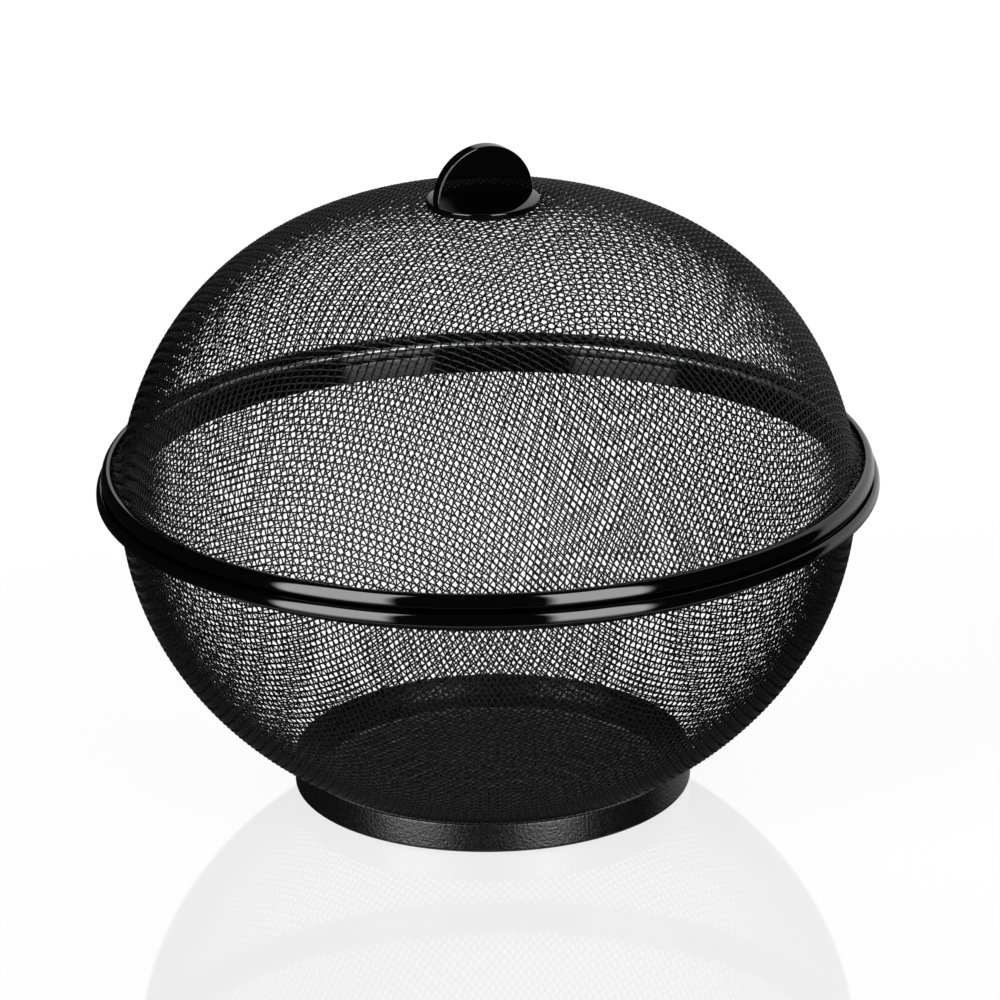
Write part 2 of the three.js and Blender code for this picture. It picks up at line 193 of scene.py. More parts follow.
sky.links.new(backdrop.outputs[0], world_output.inputs[0])
print("soft boxes, degrees beside the camera:", SOFT_BOXES)

# %% [markdown]
# The basket stands on a plain white table top that is lit from within, like a product photographer's
# light table, and glossy enough to mirror the bowl faintly. Hardly any light gets inside the closed
# foot ring, so the table's glow is turned down there: a painted shadow under the foot. The rims must
# mirror the studio and not the white table, so the table is left out of mirror images with Blender's
# ray switches.

# %% Table top
TABLE_SIDE = 12
TABLE_DROP = 0.05 * MM  # keeps the table and the foot from sharing a plane
TABLE_GLOW = 0.77
# painted shadow under the foot ring: the glow that is left there
PAINTED_SHADOW_GLOW = 0.03  # what is left of it inside the foot ring
FOOT_INSIDE = 70 * MM
PAINTED_SHADOW_STARTS = 0.9  # of that radius


def shader_of(material):
    return material.node_tree.nodes["Principled BSDF"]


def new_finish(name, colour, roughness, metallic=0.0):
    """A material whose even settings stand on the shader's own sockets."""
    material = bpy.data.materials.new(name)
    material.use_nodes = True
    shader = shader_of(material)
    shader.inputs["Base Color"].default_value = (*colour, 1)
    shader.inputs["Roughness"].default_value = roughness
    shader.inputs["Metallic"].default_value = metallic
    return material


table_finish = new_finish("pale_table", (0.1, 0.1, 0.1), 0.05)
shader_of(table_finish).inputs["IOR"].default_value = 1.8
shader_of(table_finish).inputs["Emission Color"].default_value = (1, 1, 1, 1)
table_nodes, table_links = table_finish.node_tree.nodes, table_finish.node_tree.links
from_middle = table_nodes.new("ShaderNodeVectorMath")
from_middle.operation = "LENGTH"
table_links.new(table_nodes.new("ShaderNodeTexCoord").outputs["Object"], from_middle.inputs[0])
# painted shadow: the table's glow fades out towards the middle, inside the foot ring
painted_foot_shadow = table_nodes.new("ShaderNodeMapRange")
painted_foot_shadow.interpolation_type = "SMOOTHSTEP"
painted_foot_shadow.inputs["From Min"].default_value = FOOT_INSIDE * PAINTED_SHADOW_STARTS
painted_foot_shadow.inputs["From Max"].default_value = FOOT_INSIDE
painted_foot_shadow.inputs["To Min"].default_value = PAINTED_SHADOW_GLOW
painted_foot_shadow.inputs["To Max"].default_value = TABLE_GLOW
table_links.new(from_middle.outputs["Value"], painted_foot_shadow.inputs["Value"])
table_links.new(painted_foot_shadow.outputs["Result"], shader_of(table_finish).inputs["Emission Strength"])
table_mesh = bpy.data.meshes.new("table_top")
half_side = TABLE_SIDE / 2
corners = [(-half_side, -half_side, 0), (half_side, -half_side, 0),
           (half_side, half_side, 0), (-half_side, half_side, 0)]
table_mesh.from_pydata(corners, [], [(0, 1, 2, 3)])
table_mesh.materials.append(table_finish)
table_top = bpy.data.objects.new("table_top", table_mesh)
bpy.context.scene.collection.objects.link(table_top)
table_top.location.z = cad_low.z - TABLE_DROP
table_top.visible_glossy = False
table_top.visible_shadow = False
print("table top at height", round(table_top.location.z / MM, 2), "mm")

# %% [markdown]
# Every finish here is black, and what tells them apart is how they shine. Each one is a small graph of
# noise textures in the object's own coordinates, at the size that the real grain has, so nothing
# depends on an unwrapped image. This helper adds one layer of grain: it varies the roughness between
# two values and bends the surface by a fixed depth.

# %% Grain helper
def add_grain(material, size, depth, smooth, rough, detail=3.0):
    """Noise of the given grain size: bumps of that depth, and roughness from smooth to rough."""
    nodes = material.node_tree.nodes
    links = material.node_tree.links
    place = nodes.new("ShaderNodeTexCoord").outputs["Object"]
    noise = nodes.new("ShaderNodeTexNoise")
    noise.inputs["Scale"].default_value = 1 / size
    noise.inputs["Detail"].default_value = detail
    links.new(place, noise.inputs["Vector"])
    spread = nodes.new("ShaderNodeMapRange")
    spread.inputs["From Min"].default_value = 0.3
    spread.inputs["From Max"].default_value = 0.7
    spread.inputs["To Min"].default_value = smooth
    spread.inputs["To Max"].default_value = rough
    links.new(noise.outputs["Fac"], spread.inputs["Value"])
    links.new(spread.outputs["Result"], shader_of(material).inputs["Roughness"])
    bump = nodes.new("ShaderNodeBump")
    bump.inputs["Distance"].default_value = depth
    links.new(noise.outputs["Fac"], bump.inputs["Height"])
    links.new(bump.outputs["Normal"], shader_of(material).inputs["Normal"])
    return noise


# %% [markdown]
# The rims are rolled from steel strip and then dipped in glossy enamel. Enamel levels itself as it
# dries and leaves a very shallow ripple a few millimetres long, like the skin of an orange.

# %% Rim enamel
rim_enamel = new_finish("rim_enamel", (0.0006, 0.0006, 0.0007), 0.05)
add_grain(rim_enamel, 6 * MM, 0.008 * MM, 0.03, 0.07)
print("made", rim_enamel.name)

# %% [markdown]
# The woven wire carries a thin black coat. It is duller than the enamel, and it is thinnest where two
# wires press on each other, so its shine changes every few millimetres.

# %% Wire coat
wire_coat = new_finish("wire_coat", (0.001, 0.001, 0.0012), 0.3)
shader_of(wire_coat).inputs["Specular IOR Level"].default_value = 0.2
add_grain(wire_coat, 1.6 * MM, 0.02 * MM, 0.22, 0.4)
print("made", wire_coat.name)

# %% [markdown]
# The foot ring is sprayed with a paint that wrinkles as it bakes. The wrinkles are under a millimetre
# wide, and they scatter the soft boxes into broad grey patches.

# %% Foot paint
foot_paint = new_finish("foot_paint", (0.0015, 0.0015, 0.0018), 0.3)
add_grain(foot_paint, 0.9 * MM, 0.15 * MM, 0.2, 0.35, detail=2.0)
print("made", foot_paint.name)

# %% [markdown]
# The knob is moulded in a polished tool, so it is the smoothest piece of all. Only a faint long wave
# from shrinkage is left in its surface.

# %% Knob plastic
knob_plastic = new_finish("knob_plastic", (0.0006, 0.0006, 0.0006), 0.03)
add_grain(knob_plastic, 14 * MM, 0.01 * MM, 0.02, 0.05, detail=1.0)
print("made", knob_plastic.name)

# %% [markdown]
# The screw and its washer are zinc plated, and the two edge wires are plain drawn steel. They show
# only from inside the lid or not at all, and they are finished all the same.

# %% Bare steel
fixing_steel = new_finish("fixing_steel", (0.62, 0.63, 0.65), 0.3, metallic=1.0)
add_grain(fixing_steel, 0.6 * MM, 0.01 * MM, 0.25, 0.45)
edge_steel = new_finish("edge_steel", (0.55, 0.56, 0.58), 0.35, metallic=1.0)
add_grain(edge_steel, 0.4 * MM, 0.01 * MM, 0.3, 0.5)
print("made", fixing_steel.name, "and", edge_steel.name)

# %% [markdown]
# All the pieces below are made as points and four-cornered faces worked out with numpy. Blender has
# tools that spin or sweep a curve, but with arrays the same few lines make a ring and ten thousand
# wire crossings, and each face can be given its place on a texture at once.

# %% Mesh helper
def mesh_piece(name, points, faces, face_spots, finish, body, node):
    """A smooth piece from points (n, 3), faces (m, 4) and where each corner lies on a texture (m, 4, 2)."""
    mesh = bpy.data.meshes.new(name)
    mesh.vertices.add(len(points))
    mesh.vertices.foreach_set("co", np.ascontiguousarray(points, np.float32).ravel())
    mesh.loops.add(faces.size)
    mesh.loops.foreach_set("vertex_index", np.ascontiguousarray(faces, np.int32).ravel())
    mesh.polygons.add(len(faces))
    mesh.polygons.foreach_set("loop_start", np.arange(0, faces.size, 4, dtype=np.int32))
    mesh.polygons.foreach_set("use_smooth", np.ones(len(faces), bool))
    mesh.update(calc_edges=True)
    spots = mesh.uv_layers.new(name="OFBake")
    spots.data.foreach_set("uv", np.ascontiguousarray(face_spots, np.float32).ravel())
    mesh.materials.append(finish)
    piece = bpy.data.objects.new(name, mesh)
    bpy.context.scene.collection.objects.link(piece)
    settle(piece, body, node)
    return piece


def settle(piece, body, node):
    """Puts a finished piece on its body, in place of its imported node."""
    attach(piece, body)
    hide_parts(node)
    low = [min(corner[axis] for corner in piece.bound_box) / MM for axis in range(3)]
    high = [max(corner[axis] for corner in piece.bound_box) / MM for axis in range(3)]
    print(piece.name, len(piece.data.polygons), "faces,", [round(v, 1) for v in low + high], "mm")


# %% [markdown]
# A rolled rim is one strip bent around several corners, so it is drawn the way it is made: as the
# middle line of the strip, with an arc at each bend, and then given its thickness on both sides and
# rounded at its two edges.

# %% Strip helpers
def bent_line(corners, bend, steps=6):
    """A line through the corners, with an arc of the given radius at each one between the ends."""
    line = [Vector(corners[0])]
    for before, corner, after in zip(corners, corners[1:], corners[2:]):
        back = (Vector(before) - Vector(corner)).normalized()
        onward = (Vector(after) - Vector(corner)).normalized()
        half_angle = back.angle(onward) / 2
        centre = Vector(corner) + (back + onward).normalized() * (bend / math.sin(half_angle))
        first = Vector(corner) + back * (bend / math.tan(half_angle)) - centre
        last = Vector(corner) + onward * (bend / math.tan(half_angle)) - centre
        sweep = first.angle_signed(last)
        for step in range(steps + 1):
            turn = -sweep * step / steps
            spoke = Vector((first.x * math.cos(turn) - first.y * math.sin(turn),
                            first.x * math.sin(turn) + first.y * math.cos(turn)))
            line.append(centre + spoke)
    return line + [Vector(corners[-1])]


def rolled_shoulder(outside, top, width, drop, steps=14):
    """A quarter oval from the upright side up to the flat top, as the middle line of a strip."""
    angles = [math.pi / 2 * step / steps for step in range(steps + 1)]
    return [Vector((outside - width * (1 - math.cos(a)), top - drop * (1 - math.sin(a)))) for a in angles]


def strip_outline(line, thickness, edge_steps=5):
    """The closed section of a strip: out along one face, round its edge, back along the other face."""
    left, right, ways = [], [], []
    for index, point in enumerate(line):
        way = (line[min(index + 1, len(line) - 1)] - line[max(index - 1, 0)]).normalized()
        ways.append(way)
        side = Vector((-way.y, way.x)) * (thickness / 2)
        left.append(point + side)
        right.append(point - side)

    def edge(point, way):
        side = Vector((-way.y, way.x))
        angles = [math.pi * step / edge_steps for step in range(1, edge_steps)]
        return [point + (side * math.cos(a) + way * math.sin(a)) * (thickness / 2) for a in angles]

    return left + edge(line[-1], ways[-1]) + right[::-1] + edge(line[0], -ways[0])


def round_outline(middle, radius, sides=20):
    """The section of a round wire."""
    angles = [2 * math.pi * side / sides for side in range(sides)]
    return [Vector(middle) + Vector((math.cos(a), math.sin(a))) * radius for a in angles]


# %% [markdown]
# Turning a section about the upright axis makes a ring. The ring is laid out on its texture as eight
# straight lengths, one above the other, so that the grain stays fine all the way round.

# %% Ring helper
RING_STEPS = 288
RING_ROWS = 8


def ring_piece(name, outline, finish, body, node):
    """Turns a closed section of (radius, height) points about Z."""
    section = np.array([(point.x, point.y) for point in outline])
    after = np.roll(section, -1, axis=0)
    area = (section[:, 0] * after[:, 1] - after[:, 0] * section[:, 1]).sum()
    if area < 0:
        section = section[::-1]
    count = len(section)
    turn = np.arange(RING_STEPS) * (2 * math.pi / RING_STEPS)
    points = np.empty((RING_STEPS, count, 3))
    points[..., 0] = section[:, 0] * np.cos(turn)[:, None]
    points[..., 1] = section[:, 0] * np.sin(turn)[:, None]
    points[..., 2] = section[:, 1]
    step, place = np.meshgrid(np.arange(RING_STEPS), np.arange(count), indexing="ij")
    next_step, next_place = (step + 1) % RING_STEPS, (place + 1) % count
    faces = np.stack([step * count + place, next_step * count + place,
                      next_step * count + next_place, step * count + next_place], -1)
    per_row = RING_STEPS // RING_ROWS
    along = (step % per_row) / per_row
    row = step // per_row
    u = np.stack([along, along + 1 / per_row, along + 1 / per_row, along], -1)
    v_low, v_high = (row + place / count) / RING_ROWS, (row + (place + 1) / count) / RING_ROWS
    v = np.stack([v_low, v_low, v_high, v_high], -1)
    spots = np.stack([u, v], -1).reshape(-1, 4, 2)
    piece = mesh_piece(name, points.reshape(-1, 3), faces.reshape(-1, 4), spots, finish, body, node)
    even_shine(piece)
    return piece


def even_shine(piece):
    """Keeps the flat faces shining flat, so that only the bends turn the light."""
    shine = piece.modifiers.new("even_shine", "WEIGHTED_NORMAL")
    shine.mode = "FACE_AREA"
    shine.weight = 80
    shine.keep_sharp = True


# %% [markdown]
# The foot is a strip rolled on edge, with its lower edge turned inwards to stand on. The mesh is
# welded to its rounded upper edge.

# %% Foot ring
foot_low, foot_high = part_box("foot_ring")
FOOT_SHEET = 1.2 * MM
FOOT_FLANGE = 8 * MM
FOOT_BEND = 0.75 * MM
foot_middle = foot_high.x - FOOT_SHEET / 2
foot_line = bent_line([
    (foot_high.x - FOOT_FLANGE + FOOT_SHEET / 2, foot_low.z + FOOT_SHEET / 2),
    (foot_middle, foot_low.z + FOOT_SHEET / 2),
    (foot_middle, foot_high.z - FOOT_SHEET / 2),
], FOOT_BEND)
ring_piece("foot_ring_painted", strip_outline(foot_line, FOOT_SHEET), foot_paint,
           "bowl", "foot_ring")

# %% [markdown]
# The bowl is pressed from a flat sheet of mesh: a flat floor, a rounded wall and an upright edge that
# the rim is rolled over. Its side view is a curve a little fuller than an ellipse. The curve is kept
# as a fine row of points with the distance walked along it, because the weaving below asks where a
# wire is after so many millimetres.

# %% Side view of the bowl
bowl_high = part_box("bowl_mesh")[1]
MESH_THICKNESS = 1.1 * MM
BOWL_ROUNDNESS = 1.965
BOWL_SEAT_LIFT = 1.17 * MM  # the mesh's outer face passes this far above the middle of the foot's edge
BOWL_UPRIGHT = 6.5 * MM  # straight mesh at the top, inside the rim
FLOOR_CLEARANCE = 3.2 * MM
FLOOR_BEND = 1.5 * MM
CURVE_POINTS = 1500
WALK_STEP = 0.2 * MM
BEYOND_EDGE = 30 * MM  # the curve is carried on straight this far, so that wires can be cut at the edge


def bowl_side_view():
    """Radius and height along the outer face of the mesh, from the middle of the floor to the edge."""
    widest = bowl_high.z - BOWL_UPRIGHT
    seat = foot_high.z - FOOT_SHEET / 2 + BOWL_SEAT_LIFT
    seat_share = (foot_middle / bowl_high.x) ** BOWL_ROUNDNESS
    depth = (widest - seat) / (1 - seat_share) ** (1 / BOWL_ROUNDNESS)
    slant = np.sin(np.linspace(0, math.pi / 2, CURVE_POINTS))
    radius = bowl_high.x * slant ** (2 / BOWL_ROUNDNESS)
    above = widest - depth * (1 - slant ** 2) ** (1 / BOWL_ROUNDNESS) - FLOOR_CLEARANCE
    height = FLOOR_CLEARANCE + (above + np.hypot(above, FLOOR_BEND)) / 2
    return np.append(radius, bowl_high.x), np.append(height, bowl_high.z)


def middle_of_mesh(radius, height, inward):
    """The line halfway through the mesh: distance walked, radius, height, and the walk's real end."""
    walked = np.concatenate([[0], np.cumsum(np.hypot(np.diff(radius), np.diff(height)))])
    even = np.arange(0, walked[-1], WALK_STEP)
    radius, height = np.interp(even, walked, radius), np.interp(even, walked, height)
    way_r, way_z = np.gradient(radius), np.gradient(height)
    size = np.hypot(way_r, way_z)
    radius = radius - way_z / size * inward * MESH_THICKNESS / 2
    height = height + way_r / size * inward * MESH_THICKNESS / 2
    radius[0] = 0
    walked = np.concatenate([[0], np.cumsum(np.hypot(np.diff(radius), np.diff(height)))])
    last_r, last_z = radius[-1] - radius[-5], height[-1] - height[-5]
    last_size = math.hypot(last_r, last_z)
    extra = np.arange(1, int(BEYOND_EDGE / WALK_STEP)) * WALK_STEP
    radius_on = np.concatenate([radius, radius[-1] + last_r / last_size * extra])
    height_on = np.concatenate([height, height[-1] + last_z / last_size * extra])
    return np.concatenate([walked, walked[-1] + extra]), radius_on, height_on, walked[-1]


bowl_walk = middle_of_mesh(*bowl_side_view(), inward=1)
print("floor to rim along the bowl's mesh:", round(bowl_walk[3] / MM, 1), "mm")

# %% [markdown]
# Woven wire can't stretch. When the flat sheet is pressed into a bowl, every little square keeps its
# four sides and leans into a diamond instead, and towards the rim the wires close up on each other in
# four places. So the crossings are found as a fishing net would hang: two wires run straight out from
# the middle, and every further crossing lies one wire spacing from its two neighbours. Newton's
# method finds a whole diagonal of crossings at once, and one quarter mirrored makes the whole sheet.
# A loom never spaces its wires perfectly evenly, so each gap is a few hundredths wider or narrower.

# %% Net of wire crossings
BOWL_SPACING = (2.44 * MM, 2.44 * MM)  # from wire to wire, for the two directions
SPACING_SPREAD = 0.03
NEWTON_STEPS = 12
TURN_LIMIT = 0.3  # radians that one of those steps may turn a crossing by
loom = np.random.default_rng(7)


def net_quarter(walk, spacings):
    """Places the crossings of one quarter: how far each has walked, and its turn about the axis."""
    walked, radius, height, end = walk
    slope_r, slope_z = np.gradient(radius, walked), np.gradient(height, walked)
    count = int((end + BEYOND_EDGE / 2) / min(spacings))
    spacing = max(spacings)
    far = np.full((count + 1, count + 1), np.nan)
    turn = np.full((count + 1, count + 1), np.nan)
    uneven = 1 + loom.uniform(-SPACING_SPREAD, SPACING_SPREAD, count)
    gaps_one, gaps_two = spacings[0] * uneven, spacings[1] * uneven
    far[:, 0] = np.concatenate([[0], np.cumsum(gaps_one)])
    far[0, :] = np.concatenate([[0], np.cumsum(gaps_two)])
    turn[:, 0] = 0
    turn[0, 1:] = math.pi / 2

    def spot(distance, angle):
        r = np.interp(distance, walked, radius)
        return np.stack([r * np.cos(angle), r * np.sin(angle), np.interp(distance, walked, height)], -1)

    for diagonal in range(2, 2 * count + 1):
        i = np.arange(max(1, diagonal - count), min(count, diagonal - 1) + 1)
        j = diagonal - i
        first, second = spot(far[i - 1, j], turn[i - 1, j]), spot(far[i, j - 1], turn[i, j - 1])
        distance = far[i - 1, j] + far[i, j - 1] - far[i - 1, j - 1]
        angle = turn[i - 1, j] + turn[i, j - 1] - turn[i - 1, j - 1]
        if diagonal == 2:
            distance = np.array([math.hypot(gaps_one[0], gaps_two[0])])
            angle = np.array([math.atan2(gaps_two[0], gaps_one[0])])
        for _ in range(NEWTON_STEPS):
            here = spot(distance, angle)
            rate = np.interp(distance, walked, slope_r)
            along = np.stack([rate * np.cos(angle), rate * np.sin(angle),
                              np.interp(distance, walked, slope_z)], -1)
            across = np.stack([-here[:, 1], here[:, 0], np.zeros(len(i))], -1)
            miss_one = ((here - first) ** 2).sum(-1) - gaps_one[i - 1] ** 2
            miss_two = ((here - second) ** 2).sum(-1) - gaps_two[j - 1] ** 2
            a, b = 2 * ((here - first) * along).sum(-1), 2 * ((here - first) * across).sum(-1)
            c, d = 2 * ((here - second) * along).sum(-1), 2 * ((here - second) * across).sum(-1)
            scale = a * d - b * c
            distance = distance - np.clip((miss_one * d - b * miss_two) / scale, -spacing, spacing)
            angle = angle - np.clip((a * miss_two - miss_one * c) / scale, -TURN_LIMIT, TURN_LIMIT)
        lost = ~(distance < walked[-1] - spacing / 3)
        far[i, j] = np.where(lost, np.nan, distance)
        turn[i, j] = np.where(lost, np.nan, angle)
    slant = np.hypot(slope_r, slope_z)
    facing_r, facing_z = -slope_z / slant, slope_r / slant
    out = np.interp(far, walked, facing_r)
    facing = np.stack([out * np.cos(turn), out * np.sin(turn), np.interp(far, walked, facing_z)], -1)
    return far, spot(far, turn), facing


def mirrored(quarter):
    """A quarter's values over the whole sheet. Vectors change sign across the mirrors."""
    vectors = quarter.ndim == 3
    sides = np.concatenate([quarter[:0:-1] * ((-1, 1, 1) if vectors else 1), quarter])
    return np.concatenate([sides[:, :0:-1] * ((1, -1, 1) if vectors else 1), sides], 1)


bowl_net = net_quarter(bowl_walk, BOWL_SPACING)
print("bowl crossings:", int((mirrored(bowl_net[0]) <= bowl_walk[3]).sum()))

# %% [markdown]
# Each wire runs over one crossing and under the next. A six-sided ring of points at every crossing,
# half a wire above or below the sheet's middle, is enough for wire this thin. The sheet is four
# pieces, two halves for each direction of wire, so that none of them grows too heavy to handle.
# Each wire is closed at both ends and cut exactly at the sheet's edge.

# %% Wires from the net
WIRE_RADIUS = 0.3 * MM
WIRE_SIDES = 6
SHORTEST_END = 0.05  # of a spacing, the least length of wire left beyond its last crossing
CAP_SPOT = 0.001  # side of the patch of texture that every wire end shares


def wires(name, walk, net, direction, half, weave_turn, hole, body, node):
    """Half the wires of one direction: 0 runs along the net's first axis and 1 along its second."""
    far, place, facing = (mirrored(part) for part in net)
    rows, columns = np.meshgrid(np.arange(len(far)), np.arange(len(far)), indexing="ij")
    over = np.where((rows + columns) % 2 == direction, 1.0, -1.0)
    if direction == 1:
        far, place, facing, over = far.T, place.swapaxes(0, 1), facing.swapaxes(0, 1), over.T
    end = walk[3]
    in_half = (columns < len(far) // 2) if half == 0 else (columns >= len(far) // 2)
    inside = in_half & (far > hole) & (far <= end)
    run = place + facing * (over * WIRE_RADIUS)[..., None]
    kept = inside.copy()
    ends = run.copy()
    for shift in (1, -1):
        near_far, near_run = np.roll(far, shift, 0), np.roll(run, shift, 0)
        cut = np.roll(inside, shift, 0) & in_half & (far > end)
        share = np.clip((end - near_far) / (far - near_far), SHORTEST_END, 1)[..., None]
        ends = np.where(cut[..., None], near_run + (run - near_run) * share, ends)
        kept |= cut
    run = ends
    before, after = np.roll(kept, 1, 0), np.roll(kept, -1, 0)
    previous = np.where(before[..., None], np.roll(run, 1, 0), run)
    following = np.where(after[..., None], np.roll(run, -1, 0), run)
    way = following - previous
    way /= np.linalg.norm(way, axis=-1, keepdims=True)
    side = np.cross(way, facing)
    side /= np.linalg.norm(side, axis=-1, keepdims=True)
    up = np.cross(side, way)
    spokes = np.arange(WIRE_SIDES) * (2 * math.pi / WIRE_SIDES)
    ring = (up[..., None, :] * np.cos(spokes)[:, None] + side[..., None, :] * np.sin(spokes)[:, None])
    points = (run[..., None, :] + ring * WIRE_RADIUS)[kept]
    number = np.full(far.shape, -1)
    number[kept] = np.arange(kept.sum()) * WIRE_SIDES

    linked = kept & after
    start, finish = number[linked], np.roll(number, -1, 0)[linked]
    spoke = np.arange(WIRE_SIDES)
    turn_on = (spoke + 1) % WIRE_SIDES
    tube = np.stack([start[:, None] + spoke, start[:, None] + turn_on,
                     finish[:, None] + turn_on, finish[:, None] + spoke], -1).reshape(-1, 4)
    size = len(far)
    u, v = rows[linked][:, None] / size, columns[linked][:, None] / size
    u_on, v_low, v_high = u + 1 / size, v + spoke / WIRE_SIDES / size, v + (spoke + 1) / WIRE_SIDES / size
    u, u_on = np.broadcast_to(u, v_low.shape), np.broadcast_to(u_on, v_low.shape)
    tube_spots = np.stack([np.stack([u, v_low], -1), np.stack([u, v_high], -1),
                           np.stack([u_on, v_high], -1), np.stack([u_on, v_low], -1)], 2).reshape(-1, 4, 2)

    first, last = number[kept & ~before], number[kept & ~after]
    caps = np.concatenate([first[:, None] + corners for corners in ((3, 2, 1, 0), (5, 4, 3, 0))]
                          + [last[:, None] + corners for corners in ((0, 1, 2, 3), (0, 3, 4, 5))])
    cap_patch = np.array([(0, 0), (CAP_SPOT, 0), (CAP_SPOT, CAP_SPOT), (0, CAP_SPOT)])
    cap_spots = np.tile(cap_patch, (len(caps), 1, 1))

    points = points.reshape(-1, 3)
    cos_turn, sin_turn = math.cos(weave_turn), math.sin(weave_turn)
    points = points @ np.array([(cos_turn, sin_turn, 0), (-sin_turn, cos_turn, 0), (0, 0, 1)])
    return mesh_piece(name, points, np.concatenate([tube, caps]), np.concatenate([tube_spots, cap_spots]),
                      wire_coat, body, node)


BOWL_WEAVE_TURN = math.radians(18.4)
NO_HOLE = -1


def woven_sheet(body, walk, net, weave_turn, hole):
    """The four pieces of the bowl's or the lid's mesh."""
    for direction, thread in enumerate(("warp", "weft")):
        for half in (0, 1):
            wires(f"{body}_{thread}_{half + 1}", walk, net, direction, half, weave_turn, hole,
                  body, f"{body}_mesh")


woven_sheet("bowl", bowl_walk, bowl_net, BOWL_WEAVE_TURN, NO_HOLE)

# %% [markdown]
# The bowl's rim is one strip rolled over the mesh: a short leg inside, a flat ledge that the lid sits
# on, an upright band, and a skirt that slopes back in until it nearly meets the mesh. Rolling leaves
# the upright band rounded over at the top like a quarter of an oval. A wide soft box then shows on it
# as a narrow band of light, which a flat face could never give.

# %% Bowl rim
rim_low, rim_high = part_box("bowl_rim")
RIM_SHEET = 0.8 * MM
RIM_BEND = 0.55 * MM
RIM_LINER = 7.2 * MM
RIM_BAND = 4.2 * MM
RIM_SHOULDER = 1.2 * MM
RIM_DROP = 2.8 * MM
SKIRT_TUCK = 1.2 * MM
LINER_GAP = 0.3 * MM
half_sheet = RIM_SHEET / 2
rim_middle = rim_high.x - half_sheet
skirt_tip = Vector((bowl_high.x + SKIRT_TUCK, rim_low.z))
skirt_top = Vector((rim_high.x, rim_high.z - RIM_BAND))
skirt_way = (skirt_top - skirt_tip).normalized()
skirt_start = skirt_tip + Vector((-skirt_way.y, skirt_way.x)) * half_sheet
skirt_bend_z = skirt_start.y + (rim_middle - skirt_start.x) * skirt_way.y / skirt_way.x
liner_middle = bowl_high.x - MESH_THICKNESS - LINER_GAP - half_sheet
rim_top = rim_high.z - half_sheet
rim_line = bent_line([skirt_start, (rim_middle, skirt_bend_z), (rim_middle, rim_top - RIM_DROP)], RIM_BEND)
rim_line += rolled_shoulder(rim_middle, rim_top, RIM_SHOULDER, RIM_DROP)[1:-1]
rim_line += bent_line([
    (rim_middle - RIM_SHOULDER, rim_top), (liner_middle, rim_top), (liner_middle, rim_high.z - RIM_LINER),
], RIM_BEND)
ring_piece("bowl_rim_rolled", strip_outline(rim_line, RIM_SHEET), rim_enamel,
           "bowl", "bowl_rim")

# %% [markdown]
# Inside each rolled rim lies a round wire that keeps it stiff and true. Nobody sees it, but the rim
# would be an empty tube without it.

# %% Edge wires
def edge_wire(name, node, body):
    """The round wire inside a rim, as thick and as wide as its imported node."""
    low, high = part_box(node)
    radius = (high.z - low.z) / 2
    middle = (high.x - radius, (low.z + high.z) / 2)
    return ring_piece(name, round_outline(middle, radius), edge_steel, body, node)


edge_wire("bowl_rim_core", "bowl_rim_wire", "bowl")
edge_wire("lid_rim_core", "lid_rim_wire", "lid")

# %% [markdown]
# The lid's mesh is a fuller dome than the bowl. Near the rim it bends outwards in a small arc and ends
# flat between the two rings of the lid's rim. Its mesh comes from another loom, a little more open and
# wider one way than the other. The screw passes through the middle, where the two wires that would
# cross there are parted.

# %% Side view of the lid
lid_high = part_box("lid_mesh")[1]
lid_rim_low, lid_rim_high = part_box("lid_rim")
knob_low, knob_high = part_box("knob")
LID_INSET = 0.7 * MM
LID_FLARE = 3.2 * MM
DOME_SINK = 36.5 * MM
DOME_ROUNDNESS = 2.39
KNOB_GAP = 0.3 * MM
flange_z = lid_rim_high.z - RIM_SHEET - LINER_GAP
lid_radius = bowl_high.x - LID_INSET


def lid_side_view():
    """Radius and height along the outer face, from the crown to the turned-out edge."""
    base = lid_rim_high.z - DOME_SINK
    rise = knob_low.z - KNOB_GAP - base
    bend_top = flange_z + LID_FLARE
    bend_share = 1 - ((bend_top - base) / rise) ** DOME_ROUNDNESS
    dome_radius = lid_radius / bend_share ** (1 / DOME_ROUNDNESS)
    slant = np.sin(np.linspace(0, math.asin(math.sqrt(bend_share)), CURVE_POINTS))
    radius = dome_radius * slant ** (2 / DOME_ROUNDNESS)
    height = base + rise * (1 - slant ** 2) ** (1 / DOME_ROUNDNESS)
    bend = np.linspace(0, math.pi / 2, 40)[1:]
    radius = np.concatenate([radius, lid_radius + LID_FLARE * (1 - np.cos(bend)), [lid_high.x]])
    height = np.concatenate([height, bend_top - LID_FLARE * np.sin(bend), [flange_z]])
    return radius, height


lid_walk = middle_of_mesh(*lid_side_view(), inward=-1)
LID_SPACING = (2.57 * MM, 2.83 * MM)
lid_net = net_quarter(lid_walk, LID_SPACING)
LID_WEAVE_TURN = math.radians(38.4)
SCREW_HOLE = 2 * MM
woven_sheet("lid", lid_walk, lid_net, LID_WEAVE_TURN, SCREW_HOLE)

# %% [markdown]
# The lid's rim is two strips pressed together over the mesh's edge. The lower one is a channel that
# sits on the bowl's ledge, and the upper one covers it with a flat top and an upright band, rounded
# over between them like the bowl's.

# %% Lid rim and its channel
seat_low, seat_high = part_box("lid_seat_ring")
LID_LEG_HEIGHT = 2.2 * MM
channel_outside = seat_high.x - half_sheet
channel_inside = lid_radius - MESH_THICKNESS - LINER_GAP - half_sheet
seat_line = bent_line([
    (channel_inside, seat_low.z + LID_LEG_HEIGHT),
    (channel_inside, seat_low.z + half_sheet),
    (channel_outside, seat_low.z + half_sheet),
    (channel_outside, seat_high.z),
], RIM_BEND)
ring_piece("lid_channel", strip_outline(seat_line, RIM_SHEET), rim_enamel,
           "lid", "lid_seat_ring")

